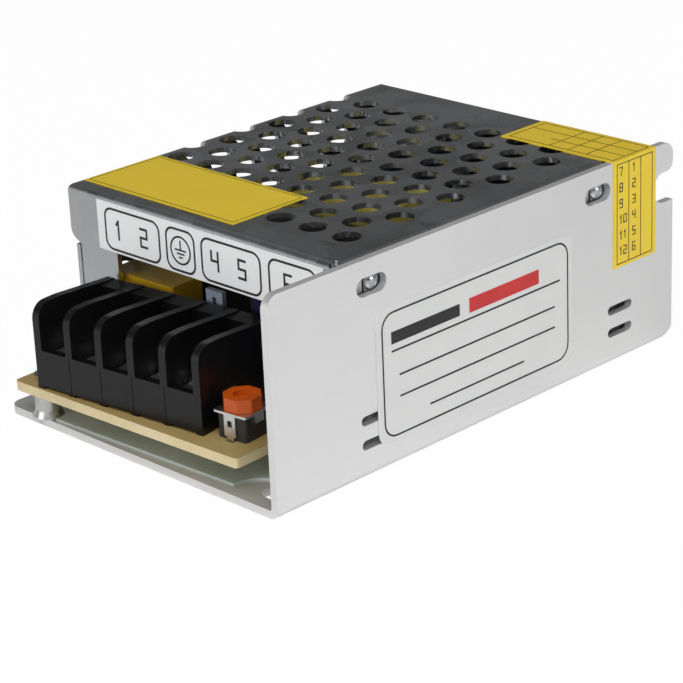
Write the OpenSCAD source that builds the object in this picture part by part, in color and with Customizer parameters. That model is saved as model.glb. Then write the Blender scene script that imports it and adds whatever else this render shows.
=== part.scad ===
// Enclosed mesh case switching power supply.
// An L-shaped chassis carries the circuit board; a perforated cover closes the top, the left side and the back.
// X runs across the case, Y from the terminals to the back, Z up. Millimetres and degrees.

/* [Case] */
// Width across the outside of the case
case_w = 58; // [54:0.5:66]
// Length of the chassis side wall, ear included
case_l = 85; // [80:0.5:100]
// Height of the case
case_h = 32; // [30:0.5:38]
// Thickness of the chassis sheet
wall_t = 1.2; // [1:0.1:1.4]
// Outer radius of the chassis fold
fold_r = 1.6; // [1.5:0.1:2]
// Radius of the chassis corners
corner_r = 2; // [1:0.25:3]
// Length of the rear ear behind the cover
ear_l = 3.5; // [3:0.25:6]
// Step and chamfer at the lower back corner of the side wall
heel = 2; // [1:0.25:3]
// Width of the open notch in the rear ear
notch_w = 4.8; // [3.5:0.1:5]
// Height of the notch centre
notch_z = 25.1; // [20:0.1:26]
// Depth of the notch from the back edge
notch_d = 4.7; // [4:0.1:6]
// Width of the base mounting slots
base_slot_w = 3.4; // [3:0.1:4.2]
// Length of the base mounting slots
base_slot_l = 5; // [4.5:0.1:6]
// Distance of the base mounting slots from the chassis ends
base_slot_y = 4.2; // [3.5:0.1:5]

/* [Side slots] */
// Length of the snap slots near the top of the side wall
snap_l = 5.8; // [5:0.1:7]
// Height of the snap slots
snap_h = 2.7; // [2.4:0.1:3]
// Height of the snap slot centres
snap_z = 28.1; // [26:0.1:28.5]
// Front end of the front slots, from the chassis front
slot_front = 16.4; // [16:0.1:20]
// Back end of the rear snap slot, from the back of the cover
snap_back = 11.5; // [9:0.1:13]
// Back end of the rear low slots, from the back of the cover
low_back = 6.4; // [5:0.1:9]
// Length of the low slots
low_l = 5.65; // [5:0.1:7]
// Height of the low slots
low_h = 1.45; // [1:0.05:2]
// Centre heights of the two low slots
low_z = [5.2, 8.8]; // [4:0.1:10]

/* [Cover] */
// Thickness of the cover sheet
cover_t = 0.8; // [0.6:0.05:1]
// Outer radius of the cover folds
cover_r = 1.1; // [1.05:0.05:1.4]
// Distance of the front lip from the chassis front
lip_y = 14.5; // [14:0.1:18]
// Height of the front lip
lip_h = 8.8; // [6:0.1:10]
// Width of the flange turned in from the left wall
flange_w = 9.3; // [6:0.1:10]
// Height of the flange inside the right wall
inner_h = 9; // [8.5:0.1:12]
// Gap between the cover and the chassis side wall
cover_gap = 0.2; // [0.1:0.05:0.3]
// Gap at the right end of the front lip
lip_gap = 1.6; // [1:0.1:3]

/* [Perforation] */
// Diameter of the round holes
hole_d = 4.2; // [3.6:0.1:4.4]
// Spacing of the holes along a row
hole_pitch = 6.54; // [6.3:0.02:7.5]
// Spacing of the rows
row_pitch = 5.26; // [5.1:0.02:6]
// Distance of the last row from the back of the cover
row_back = 10.9; // [8:0.1:12]
// Distance of the even rows from the right side of the case
row_right = 11.6; // [9:0.1:12]

/* [Board] */
// Thickness of the circuit board
board_t = 1.5; // [1:0.1:2]
// Height of the pillars that carry the board
pillar_h = 4.2; // [4:0.1:6]
// Radius of the pillars
pillar_r = 1.9; // [1.7:0.1:2.2]
// Reach of the board past the chassis front
overhang = 1.9; // [0.5:0.1:3]
// Turn of the board in the case
board_turn = 2.5; // [0:0.1:2.5]
// Free space between the board and the right wall
board_right = 6.6; // [5:0.1:8]
// Thickness of the insulating film
film_t = 0.3; // [0.2:0.05:0.5]

/* [Terminal block] */
// Number of poles
poles = 5; // [3:1:5]
// Spacing of the poles
pole_pitch = 6.1; // [5.9:0.05:6.2]
// Thickness of the barriers between the poles
fin_t = 1.3; // [1.1:0.05:1.4]
// Depth of the block
block_d = 16; // [15:0.1:16.2]
// Height of the barriers
block_h = 13; // [12:0.1:15]
// Height of the low front wall
sill_h = 6; // [5.8:0.1:6.5]
// Height of the floor under the contact plates
floor_h = 4.4; // [4:0.1:4.6]
// Turn of the block on the board
block_turn = 4; // [0:0.5:4]
// Radius of the terminal screw's shank
screw_r = 1.4; // [1.2:0.05:1.5]
// Radius of the terminal screw's head
head_r = 2.1; // [1.9:0.05:2.2]
// Travel of the screw and its clamp when loosened
clamp_lift = 2.5; // [1:0.1:3]

/* [Trimmer] */
// Side of the trimmer's metal frame
trim_w = 5.9; // [5:0.1:6.2]
// Height of the frame above the board
trim_h = 4.1; // [3.8:0.1:5]
// Width across the rotor
rotor_d = 5.2; // [4:0.1:5.4]
// Height of the rotor above the frame
rotor_h = 1.9; // [1.2:0.1:2.5]

/* [Parts on the board] */
// Radius of the bulk capacitor
bulk_r = 7.6; // [6:0.1:7.7]
// Height of the bulk capacitor
bulk_h = 21.8; // [16:0.1:22]
// Radius of the output capacitors
out_cap_r = 4.4; // [3:0.1:4.5]
// Height of the output capacitors
out_cap_h = 16; // [12:0.1:20]
// Height of the transformer
trans_h = 19.8; // [18.8:0.1:21.5]
// Height of the box capacitor
box_cap_h = 12; // [9:0.1:14]

/* [Labels] */
// Thickness of the labels
label_t = 0.1; // [0.05:0.05:0.2]

/* [Hidden] */
$fn = 48;
eps = 0.01;
touch = 0.03;      // clearance of a pressed fit
run = 0.05;        // radial clearance of a turning fit

cover_back = case_l - ear_l;
cover_right = case_w - wall_t - cover_gap;
lip_z = case_h - lip_h;
inner_z = case_h - inner_h;
board_z = wall_t + pillar_h;
top_z = board_z + board_t;

flange_set = 0.1;
snap_places = [slot_front, cover_back - snap_back - snap_l];
mouth_r = 1.5;
tab_l = 6;
tab_gap = 0.15;
tab_places = [cover_back * 0.36, cover_back * 0.78];

// rows of holes counted from the back; odd rows are shifted by half a pitch
rows = floor((cover_back - row_back - lip_y - 8) / row_pitch);
holes = floor((case_w - row_right) / hole_pitch);
bend_l = (cover_r - cover_t / 2) * PI / 2;
seam = 0.1;

// the board sits in the free width, turned, with a small gap at its back left corner
side_gap = 0.5;
back_gap = 1;
free_w = case_w - wall_t - cover_t;
board_l = (cover_back - cover_t - back_gap + overhang - free_w * sin(board_turn)) / cos(board_turn);
board_x = cover_t + side_gap + board_l * sin(board_turn);
board_w = (case_w - wall_t - board_right - board_x) / cos(board_turn);

film_front = 2.2;
film_side = 2.4;
film_recess_x = 1.5;
film_recess_r = 4.6;

// terminal block on the board
block_x = 4.9;
block_y = 0.3;
block_w = poles * pole_pitch + fin_t;
foot_h = 0.4;
foot_l = 2.5;
sill_t = 1.2;
rear_t = 3.2;
fin_r = 2.4;
plate_t = 0.8;
clamp_t = 0.8;
head_h = 1.7;
bay_w = pole_pitch - fin_t;
pole_y = sill_t + (block_d - sill_t - rear_t) / 2;
plate_l = block_d - sill_t - rear_t - 0.6;
tail_w = 1;
tail_t = 0.8;
tail_y = block_d - rear_t - 1.2;
tail_reach = 2;
plate_z = floor_h;
clamp_z = plate_z + plate_t;
head_z = clamp_z + clamp_t;
shank_l = 4.6;
recess_d = 0.8;
recess_w = 0.7;

// trimmer on the board
trim_x = block_x + block_w + 3.8;
trim_y = 6.7;
frame_t = 0.35;
neck_r = 1.3;

// places of the parts on the board, from its front left corner; row by row, from the block to the back
part_gap = 0.6;
row_gap = 2 * part_gap;
block_rear = block_y + block_d * cos(block_turn);
rear_left = block_x - block_d * sin(block_turn);
function behind_block(x) = block_rear + (x - rear_left) * tan(block_turn) + row_gap;

pillar_inset = 4;
pillar_screw_r = 1;
pillar_head_r = 1.7;
pillar_head_h = 0.8;
pillar_bore = 4;
foot_flare = 0.5;
rivet_r = pillar_r - 0.4;

lead_w = 0.8;
lead_t = 0.4;

box_x = 1.4;
box_w = 13.4;
box_d = 6.4;
box_y = max(behind_block(box_x + box_w), lip_y + 2 * cover_t + flange_set + overhang + part_gap);
box_rise = 0.5;

out_cap_x = [board_w - 3 * out_cap_r - row_gap, board_w - out_cap_r - part_gap];
out_cap_y = behind_block(board_w) + out_cap_r;
out_cap_left = out_cap_x[0] - out_cap_r;

strip_w = 3.3;
strip_t = 0.8;
strip_foot = 2.4;
strip_h = 13.4;
strip_x = out_cap_left - 1.7 - strip_w;
strip_y = behind_block(strip_x + strip_w);
strip_slot_w = 0.7;
strip_slot_l = 4.4;
strip_slot_z = 8;

fuse_r = 1.9;
fuse_cap_r = 2.1;
fuse_cap_l = 2;
fuse_x = box_x + box_w + row_gap;
fuse_y = strip_y + strip_foot + part_gap + fuse_cap_r;
fuse_l = out_cap_left - part_gap - fuse_x;

row2_y = out_cap_y + out_cap_r + part_gap;

choke_x = 1.6;
choke_y = box_y + box_d + 2 * row_gap;
choke_w = 14;
choke_d = 11;
choke_h = 12;
choke_leg = 3;
choke_rise = 1;
choke_coil_r = 2.95;
choke_rib_r = 0.28;
choke_pin = 2;

diode_r = 1.35;
diode_l = 5.2;
diode_lead_r = 0.4;
diode_pitch = 2.95;
diode_reach = 1;
diode_x = choke_x + choke_w + diode_reach + part_gap + lead_t;
diode_y = row2_y + diode_r;
diodes = 4;

sink_t = 1.5;
sink_h = 21;
sink_edge = 0.5;
sink_x = board_w - sink_t - sink_edge;
sink_foot = 3;
device_w = 10.2;
device_t = 4.4;
device_body = 9;
device_h = 19;
device_z = 4;
device_tab_t = 1.3;
device_hole_z = 16.2;
device_hole_r = 1.6;
device_leg_pitch = 2.5;
device_y = 6.2;
sink_screw_r = 1.45;
sink_screw_head_r = 2.7;
sink_screw_head_h = 1.6;
sink_hole_r = sink_screw_r + run;
device_left = sink_x - device_t;

pillars = [
    [3, 3.3],
    [pillar_inset, board_l - pillar_inset],
    [board_w - pillar_inset, board_l - pillar_inset],
    [board_w - pillar_inset, row2_y + pillar_head_r]];
front_sink = [sink_x, row2_y + 2 * pillar_head_r + part_gap, 13.2];
rear_sink = [sink_x, board_l - 2 * pillar_inset - 12.5, 12.5];

coil_r = 4.4;
coil_core_r = 3.6;
coil_h = 9.4;
coil_flange = 1.4;
coil_x = device_left - part_gap - coil_r;
coil_y = row2_y + coil_r;

disc_r = 4;
disc_t = 2.6;
disc_rise = 1.2;
disc_lead = 2;
disc_x = coil_x;
disc_y = coil_y + coil_r + part_gap + disc_t / 2;

bulk_x = 14.8;
bulk_y = board_l - bulk_r - 0.8;

bobbin_w = 4;
bobbin_reach = 1;
bobbin_pin = 0.8;
bobbin_z = [1, 3.9];
trans_x = 7.4;
trans_y = disc_y + disc_t / 2 + part_gap + bobbin_reach;
trans_w = device_left - part_gap - trans_x;
trans_d = bulk_y - bulk_r - part_gap - bobbin_reach - trans_y;
core_z = 4;
core_h = 12;
core_leg = 5;
core_yoke = 3.6;
tape_gap = 0.2;
tape_bottom = 1.2;
tape_reach = 2.6;
tape_r = 1.2;

bridge_r = 4.2;
bridge_t = 3.2;
bridge_rise = 1.2;
bridge_lead = 2.5;
bridge_x = 4;

chip_x = bulk_x + bulk_r + 4 * row_gap;
chip_h = 3.2;
chip_rise = 0.8;
chip_pin = 0.5;
opto_w = 4.6;
opto_l = 5.2;
opto_y = trans_y + trans_d + bobbin_reach + row_gap;
control_w = 6.2;
control_l = 4.8;
control_y = opto_y + opto_l + 2 * part_gap;

resistor_r = 1.1;
resistor_cap_r = 1.3;
resistor_l = 4.6;
resistor_pitch = 3.2;
resistor_x = 1.6;
resistor_y = bulk_y - bulk_r - 5 * resistor_r;
resistor_count = 3;
bridge_y = resistor_y - resistor_cap_r - part_gap - bridge_r;

rating_y = 19.6;
rating_l = 41.4;
rating_z = 3.9;
rating_h = 20;
legend_x = 6.6;
legend_r = 4.2;
front_label_x = 1;
front_label_w = 32.4;
front_label_y = 2.4;
front_label_l = 14.7;
seal_w = 10.1;
seal_top = 22;
seal_side = 16.7;
seal_back = 0.8;

// ---------- placing ----------

// case coordinates start at the outer lower front left corner of the case
module in_case() {
    translate([-(case_w + label_t) / 2, -(case_l - overhang) / 2, 0]) children();
}

// board coordinates start at the front left corner of the board's upper face
module on_board() {
    in_case() translate([board_x, -overhang, top_z]) rotate([0, 0, board_turn]) children();
}

module on_block() {
    on_board() translate([block_x, block_y, 0]) rotate([0, 0, block_turn]) children();
}

module at_pole(i) {
    on_block() translate([fin_t / 2 + (i - 0.5) * pole_pitch, pole_y, 0]) children();
}

module at_trimmer() {
    on_board() translate([trim_x, trim_y, 0]) rotate([0, 0, block_turn]) children();
}

// ---------- shapes ----------

// flat plate with four round corners, its lower corner at the origin
module round_plate(w, l, t, r) {
    linear_extrude(t) round_outline(w, l, r);
}

module round_outline(w, l, r) {
    union() {
        translate([r, 0]) square([w - 2 * r, l]);
        translate([0, r]) square([w, l - 2 * r]);
        for (x = [r, w - r], y = [r, l - r]) translate([x, y]) circle(r);
    }
}

// square with one round corner at (w, h)
module corner_outline(w, h, r) {
    union() {
        square([w - r, h]);
        square([w, h - r]);
        translate([w - r, h - r]) circle(r);
    }
}

// slot through a wall normal to X, its lower front corner at the origin
module wall_slot(l, h, t) {
    rotate([90, 0, 90]) linear_extrude(t) round_outline(l, h, h / 2 - eps);
}

module can(r, h, crimp_z) {
    difference() {
        union() {
            cylinder(r = r, h = h - 0.5);
            cylinder(r = r - 0.5, h = h);
        }
        translate([0, 0, crimp_z]) rotate_extrude()
            translate([r + 0.35, 0]) circle(0.6);
        for (a = [0, 90]) rotate([0, 0, a])
            translate([-r * 0.7, -0.15, h - 0.3]) cube([r * 1.4, 0.3, 1]);
    }
}

module screw(shank_r, shank, r, h, slot_w, slot_d) {
    difference() {
        union() {
            translate([0, 0, -shank]) cylinder(r = shank_r, h = shank + h / 2);
            cylinder(r = r, h = h);
        }
        for (a = [0, 90]) rotate([0, 0, a])
            translate([-r * 0.75, -slot_w / 2, h - slot_d]) cube([r * 1.5, slot_w, h]);
    }
}

// ---------- sheet metal ----------

module chassis_profile() {
    difference() {
        union() {
            square([case_w - fold_r, wall_t]);
            translate([case_w - wall_t, fold_r]) square([wall_t, case_h - fold_r]);
            translate([case_w - fold_r, fold_r]) circle(fold_r);
        }
        translate([case_w - fold_r, fold_r]) circle(fold_r - wall_t);
        translate([case_w - fold_r - fold_r, fold_r]) square([fold_r, fold_r]);
        translate([case_w - fold_r - fold_r, wall_t]) square([fold_r, fold_r]);
        translate([case_w - wall_t - fold_r, fold_r - eps]) square([fold_r, fold_r]);
    }
}

module side_wall_outline() {
    difference() {
        square([case_l, case_h]);
        // upper front corner
        difference() {
            translate([-1, case_h - corner_r]) square([corner_r + 1, corner_r + 1]);
            translate([corner_r, case_h - corner_r]) circle(corner_r);
        }
        // upper corner of the ear
        difference() {
            translate([case_l - corner_r, case_h - corner_r]) square([corner_r + 1, corner_r + 1]);
            translate([case_l - corner_r, case_h - corner_r]) circle(corner_r);
        }
        // open notch of the ear, with a rounded mouth under the ear
        translate([case_l - notch_d + notch_w / 2, notch_z]) circle(notch_w / 2);
        translate([case_l - notch_d + notch_w / 2, notch_z - notch_w / 2]) square([notch_d, notch_w]);
        translate([case_l - mouth_r, notch_z + notch_w / 2 - eps]) difference() {
            square([mouth_r + 1, mouth_r + eps]);
            translate([0, mouth_r + eps]) circle(mouth_r);
        }
        // chamfered heel
        polygon([[case_l - heel, 0], [case_l - heel, -1], [case_l + 1, -1], [case_l + 1, heel], [case_l, heel]]);
    }
}

module chassis() {
    color("gainsboro") in_case() difference() {
        union() {
            // folded sheet, trimmed to the side wall's outline
            intersection() {
                translate([0, case_l, 0]) rotate([90, 0, 0]) linear_extrude(case_l) chassis_profile();
                union() {
                    translate([case_w - fold_r, 0, 0]) rotate([90, 0, 90])
                        linear_extrude(fold_r) side_wall_outline();
                    linear_extrude(wall_t + eps)
                        translate([case_w - fold_r + eps, case_l - heel]) mirror([1, 0]) mirror([0, 1])
                        corner_outline(case_w - fold_r + eps, case_l - heel, corner_r);
                }
            }
        }
        for (y = snap_places)
            translate([case_w - wall_t - 1, y, snap_z - snap_h / 2]) wall_slot(snap_l, snap_h, wall_t + 2);
        for (y = [slot_front, cover_back - low_back - low_l], z = low_z)
            translate([case_w - wall_t - 1, y, z - low_h / 2]) wall_slot(low_l, low_h, wall_t + 2);
        for (y = [base_slot_y, case_l - heel - base_slot_y])
            translate([case_w - fold_r - base_slot_l - 0.3, y - base_slot_w / 2, -1])
            round_plate(base_slot_l, base_slot_w, wall_t + 2, base_slot_w / 2 - eps);
        // notches for the tabs of the cover
        for (y = tab_places)
            translate([-1, y - tab_gap, -1]) cube([cover_t + tab_gap + 1, tab_l + 2 * tab_gap, wall_t + 2]);
        pillar_holes();
    }
}

module pillar_holes() {
    translate([board_x, -overhang, 0]) rotate([0, 0, board_turn]) for (p = pillars)
        translate([p[0], p[1], -1]) cylinder(r = rivet_r + touch, h = wall_t + 2);
}

module cover_block(inset) {
    r = cover_r - inset;
    w = cover_right - 2 * inset;
    l = cover_back - lip_y - 2 * inset;
    h = case_h - inset;
    translate([inset, lip_y + inset, 0]) intersection() {
        translate([0, l, 0]) rotate([90, 0, 0]) linear_extrude(l) top_round_outline(w, h, r);
        rotate([90, 0, 90]) linear_extrude(w) top_round_outline(l, h, r);
    }
}

module top_round_outline(w, h, r) {
    union() {
        square([w, h - r]);
        translate([r, 0]) square([w - 2 * r, h]);
        for (x = [r, w - r]) translate([x, h - r]) circle(r);
    }
}

module perforation() {
    for (k = [0 : rows]) {
        y = cover_back - row_back - k * row_pitch;
        shift = k % 2 == 0 ? 0 : hole_pitch / 2;
        for (n = [0 : holes]) {
            x = case_w - row_right + shift - n * hole_pitch;
            if (x > cover_r + hole_d / 2)
                translate([x, y, case_h - cover_t - 1]) cylinder(d = hole_d, h = cover_t + 2);
            else
                fold_hole(x, y);
        }
        // the pattern of the flat sheet carries on down the left wall
        first = case_w - row_right + shift - holes * hole_pitch;
        for (m = [1 : holes]) {
            z = case_h - cover_r - (cover_r - first + m * hole_pitch - bend_l);
            if (z > wall_t + hole_d && z < case_h - cover_r - hole_d / 2)
                translate([-1, y, z]) rotate([0, 90, 0]) cylinder(d = hole_d, h = cover_t + 2);
        }
    }
}

// a hole whose centre falls on the left fold runs over it: part on the top, part on the fold, part on the wall
module fold_hole(x, y) {
    into = cover_r - x;
    z = case_h - cover_r + bend_l - into;
    translate([x, y, case_h - cover_t - 1]) linear_extrude(cover_t + 2) intersection() {
        circle(d = hole_d);
        translate([into - seam, -hole_d]) square(2 * hole_d);
    }
    translate([-1, y, case_h - cover_r]) rotate([90, 0, 90]) linear_extrude(cover_t + 2) intersection() {
        translate([0, z - case_h + cover_r]) circle(d = hole_d);
        translate([-hole_d, seam - 2 * hole_d]) square(2 * hole_d);
    }
    half = sqrt(hole_d * hole_d / 4 - into * into) - seam / 2;
    translate([-1, y - half, case_h - cover_r - 2 * seam])
        cube([cover_r + 1 + 2 * seam, 2 * half, cover_r + 1 + 2 * seam]);
}

module mesh_cover() {
    color("slategray") in_case() union() {
        difference() {
            intersection() {
                difference() {
                    cover_block(0);
                    cover_block(cover_t);
                }
                translate([-1, 0, wall_t]) cube([case_w + 2, case_l, case_h]);
            }
            // open front under the lip
            translate([-1, lip_y - 1, 0]) cube([case_w + 2, cover_t + 1, lip_z]);
            translate([cover_right - lip_gap, lip_y - 1, 0]) cube([lip_gap + 1, cover_t + 1, case_h - cover_r]);
            lip_corner();
            // open right side under the inner flange
            translate([cover_right - cover_t - eps, lip_y - 1, 0])
                cube([cover_t + 1, cover_back - lip_y + 1 - cover_t, inner_z]);
            // relief holes at the corners of the folds
            translate([cover_right - lip_gap / 2 - 0.3, lip_y + 0.5, case_h - cover_t - 1])
                cylinder(r = 0.75, h = cover_t + 2);
            perforation();
            snap_slits();
        }
        left_flange();
        snap_dimples();
        for (y = tab_places) translate([0, y, 0.1]) cube([cover_t, tab_l, wall_t]);
    }
}

// round lower corner at the left end of the lip
module lip_corner() {
    translate([0, lip_y + cover_t + 0.5, lip_z]) rotate([90, 0, 0]) linear_extrude(cover_t + 1) difference() {
        translate([-1, -1]) square([corner_r + 1, corner_r + 1]);
        translate([corner_r, corner_r]) circle(corner_r);
    }
}

// flange turned in from the front edge of the left wall, behind the lip
module left_flange() {
    bottom = top_z + 1;
    translate([0, lip_y + cover_t, bottom]) difference() {
        translate([0, 0, 0]) linear_extrude(case_h - cover_t - bottom) difference() {
            union() {
                translate([cover_r, flange_set]) square([flange_w - cover_r, cover_t]);
                translate([0, cover_r]) square([cover_t, cover_r]);
                translate([cover_r, cover_r + flange_set]) circle(cover_r);
            }
            translate([cover_r, cover_r + flange_set]) circle(cover_r - cover_t);
            translate([cover_r, flange_set + cover_t]) square([2 * cover_r, 2 * cover_r]);
            translate([cover_t, cover_r + flange_set]) square([2 * cover_r, 2 * cover_r]);
        }
        translate([-1, -1, case_h - cover_t - bottom - cover_r]) cube([cover_t + 1, 3 * cover_r, 2 * cover_r]);
    }
}

// each snap is a tongue between two slits, with a dimple that clicks into the chassis slot
module snap_slits() {
    for (y = snap_places) translate([cover_right - cover_t - 1, 0, 0])
        translate([0, y + snap_l * 0.42, inner_z - 1]) cube([cover_t + 2, 0.35, snap_z + snap_h / 2 - inner_z + 1]);
}

module snap_dimples() {
    r = snap_h / 2 + 0.05;
    for (y = snap_places)
        intersection() {
            translate([cover_right - 0.5, y + snap_l * 0.7, snap_z]) sphere(r);
            translate([cover_right - cover_t + eps, y, snap_z - r]) cube([cover_t + r, snap_l, 2 * r]);
        }
}

module insulating_sheet() {
    color("darkslategray") in_case() difference() {
        translate([board_x, -overhang, wall_t]) rotate([0, 0, board_turn]) linear_extrude(film_t)
            difference() {
                translate([part_gap, film_front])
                    square([board_w + board_right - film_side - part_gap, board_l - film_front - 1]);
                for (p = pillars) translate(p) circle(pillar_r + 2 * part_gap);
                square([pillars[0][0] + 1, pillars[0][1] + pillar_r + 2]);
                // rounded recess round the base mounting slot
                translate([board_w + film_recess_x, film_front]) circle(film_recess_r);
                translate([board_w + film_recess_x, -1]) square([board_right, film_front + film_recess_r + 1]);
            }
        translate([-1, lip_y, 0]) cube([cover_t + 1.2, case_l, 3]);
    }
}

// ---------- board ----------

module circuit_board() {
    color("burlywood") difference() {
        on_board() translate([0, 0, -board_t]) round_plate(board_w, board_l, board_t, 0.6);
        on_board() for (p = pillars) translate([p[0], p[1], -board_t - 1])
            cylinder(r = pillar_screw_r + 0.1, h = board_t + 2);
        for (i = [1 : poles]) at_pole(i) translate([-tail_w / 2 - 0.15, tail_y - pole_y - 0.15, -board_t - 1])
            cube([tail_w + 0.3, tail_t + 0.3, board_t + 2]);
        at_trimmer() translate([-0.75, -trim_w / 2 - 0.45, -board_t - 1]) cube([1.5, 0.8, board_t + 2]);
    }
}

module standoffs() {
    color("silver") on_board() for (p = pillars) translate([p[0], p[1], -board_t - pillar_h]) difference() {
        union() {
            cylinder(r = pillar_r, h = pillar_h);
            cylinder(r1 = pillar_r + foot_flare, r2 = pillar_r, h = 1);
            translate([0, 0, -wall_t]) cylinder(r = rivet_r, h = wall_t + 1);
        }
        translate([0, 0, pillar_h - pillar_bore]) cylinder(r = pillar_screw_r + touch, h = pillar_bore + 1);
    }
}

module board_screws() {
    color("gray") on_board() for (p = pillars) translate([p[0], p[1], 0])
        screw(pillar_screw_r, board_t + 3, pillar_head_r, pillar_head_h, 0.45, 0.4);
}

// ---------- terminal block ----------

module fin_outline() {
    difference() {
        square([block_d, block_h]);
        difference() {
            translate([-1, block_h - fin_r]) square([fin_r + 1, fin_r + 1]);
            translate([fin_r, block_h - fin_r]) circle(fin_r);
        }
        polygon([[block_d * 0.3, block_h], [block_d, block_h - 0.9], [block_d, block_h + 1],
                 [block_d * 0.3, block_h + 1]]);
    }
}

module terminal_block() {
    color([0.09, 0.09, 0.1]) on_block() difference() {
        union() {
            translate([0, 0, foot_h]) cube([block_w, block_d, floor_h - foot_h]);
            translate([0, 0, foot_h]) cube([block_w, sill_t, sill_h - foot_h]);
            translate([0, block_d - rear_t, foot_h]) cube([block_w, rear_t, block_h - 1 - foot_h]);
            for (i = [0 : poles]) translate([i * pole_pitch, 0, 0]) rotate([90, 0, 90])
                linear_extrude(fin_t) fin_outline();
            for (i = [1 : poles - 1]) translate([i * pole_pitch, 0, 0])
                cube([fin_t, foot_l, foot_h + eps]);
        }
        // the outer side of the end barriers stands clear of the board between its feet
        for (i = [0 : poles]) translate([i * pole_pitch - 1, foot_l, -1])
            cube([fin_t + 2, block_d - 2 * foot_l, 1 + foot_h]);
        // wells for the screws and passages for the tails
        for (i = [1 : poles]) translate([fin_t / 2 + (i - 0.5) * pole_pitch, 0, 0]) {
            translate([0, pole_y, foot_h + 0.3]) cylinder(r = screw_r + 0.4, h = floor_h);
            translate([-tail_w / 2 - 0.1, tail_y - 0.1, -1]) cube([tail_w + 0.2, tail_t + 0.2, floor_h + 2]);
        }
        // parting lines on the front face
        for (i = [1 : poles - 1]) translate([i * pole_pitch + fin_t / 2 - 0.06, -0.12, -1])
            cube([0.12, 0.24, sill_h + 1]);
    }
}

module terminal_contacts() {
    color("lightgray") for (i = [1 : poles]) at_pole(i) difference() {
        union() {
            translate([-bay_w / 2 + 0.2, -plate_l / 2, plate_z]) cube([bay_w - 0.4, plate_l, plate_t]);
            translate([-tail_w / 2, tail_y - pole_y, -board_t - tail_reach])
                cube([tail_w, tail_t, plate_z + board_t + tail_reach + eps]);
        }
        cylinder(r = screw_r + run, h = block_h);
    }
}

module terminal_clamp(i) {
    clamp_l = 2 * head_r + 1.2;
    color("silver") at_pole(i) translate([0, 0, clamp_z]) difference() {
        union() {
            translate([-bay_w / 2 + 0.15, -clamp_l / 2, 0]) cube([bay_w - 0.3, clamp_l, clamp_t]);
            // turned-up guides at the back
            translate([-bay_w / 2 + 0.15, clamp_l / 2 - 0.6, 0]) cube([bay_w - 0.3, 0.6, clamp_t + 1]);
        }
        translate([0, 0, -1]) cylinder(r = screw_r + run, h = clamp_t + 2);
    }
}

module terminal_screw(i) {
    color("silver") at_pole(i) translate([0, 0, head_z + touch])
        screw(screw_r, shank_l, head_r, head_h, recess_w, recess_d);
}

// ---------- trimmer ----------

module trimmer_body() {
    color("black") at_trimmer() difference() {
        translate([-trim_w / 2 + frame_t + touch, -trim_w / 2 + frame_t + touch, 0])
            round_plate(trim_w - 2 * frame_t - 2 * touch, trim_w - 2 * frame_t, trim_h - frame_t, 0.5);
        translate([0, 0, trim_h - frame_t - 1.2]) cylinder(r = neck_r + run, h = 2);
    }
}

module trimmer_frame() {
    color("silver") at_trimmer() union() {
        difference() {
            translate([-trim_w / 2, -trim_w / 2, trim_h - frame_t]) round_plate(trim_w, trim_w, frame_t, 0.3);
            translate([0, 0, trim_h - 1]) cylinder(r = neck_r + run, h = 2);
        }
        // front leg with its window
        difference() {
            translate([-1, -trim_w / 2, -board_t - 0.6]) cube([2, frame_t, trim_h + board_t + 0.6]);
            translate([-0.4, -trim_w / 2 - 1, trim_h * 0.5]) cube([0.8, 2, 0.9]);
            for (s = [-1, 1]) translate([s * 1.5 - 0.9, -trim_w / 2 - 1, -board_t - 1])
                cube([1.8, 2, board_t + 1.6]);
        }
        // side lugs that hold the body
        for (s = [-1, 1]) translate([s * (trim_w - frame_t) / 2 - frame_t / 2, -0.9, trim_h - 1.6])
            cube([frame_t, 1.8, 1.6]);
    }
}

module trimmer_rotor() {
    cut = rotor_d * 0.3;
    color("darkorange") at_trimmer() translate([0, 0, trim_h + touch]) difference() {
        union() {
            linear_extrude(rotor_h) polygon([
                for (a = [22.5 : 45 : 337.5]) rotor_d / 2 / cos(22.5) * [cos(a), sin(a)]]);
            translate([0, 0, -frame_t - 1]) cylinder(r = neck_r, h = 2);
        }
        translate([0, 0, rotor_h - 0.8]) cylinder(d = rotor_d * 0.5, h = 2);
        translate([-rotor_d * 0.2, -0.4, rotor_h - 1.3]) cube([rotor_d * 0.4, 0.8, 2]);
    }
}

// ---------- parts on the board ----------

module box_capacitor() {
    color([0.78, 0.6, 0.12]) on_board() translate([box_x, box_y, 0]) union() {
        translate([0, 0, box_rise]) round_plate(box_w, box_d, box_cap_h - box_rise, 0.5);
        for (x = [1, box_w - 1 - lead_w], y = [0.6, box_d - 0.6 - lead_w])
            translate([x, y, 0]) cube([lead_w, lead_w, box_rise + eps]);
    }
}

// upright strip that takes the earth to the board, with a slot near its top
module earth_strip() {
    color("lightsteelblue") on_board() translate([strip_x, strip_y, 0]) difference() {
        union() {
            cube([strip_w, strip_t, strip_h]);
            cube([strip_w, strip_foot, strip_t]);
        }
        translate([(strip_w - strip_slot_w) / 2, -1, strip_slot_z])
            cube([strip_slot_w, strip_t + 2, strip_slot_l]);
    }
}

module fuse() {
    color([0.12, 0.12, 0.13]) on_board() translate([fuse_x, fuse_y, fuse_cap_r]) rotate([0, 90, 0]) {
        cylinder(r = fuse_r, h = fuse_l);
        for (x = [0, fuse_l - fuse_cap_l]) translate([0, 0, x]) cylinder(r = fuse_cap_r, h = fuse_cap_l);
    }
}

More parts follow.
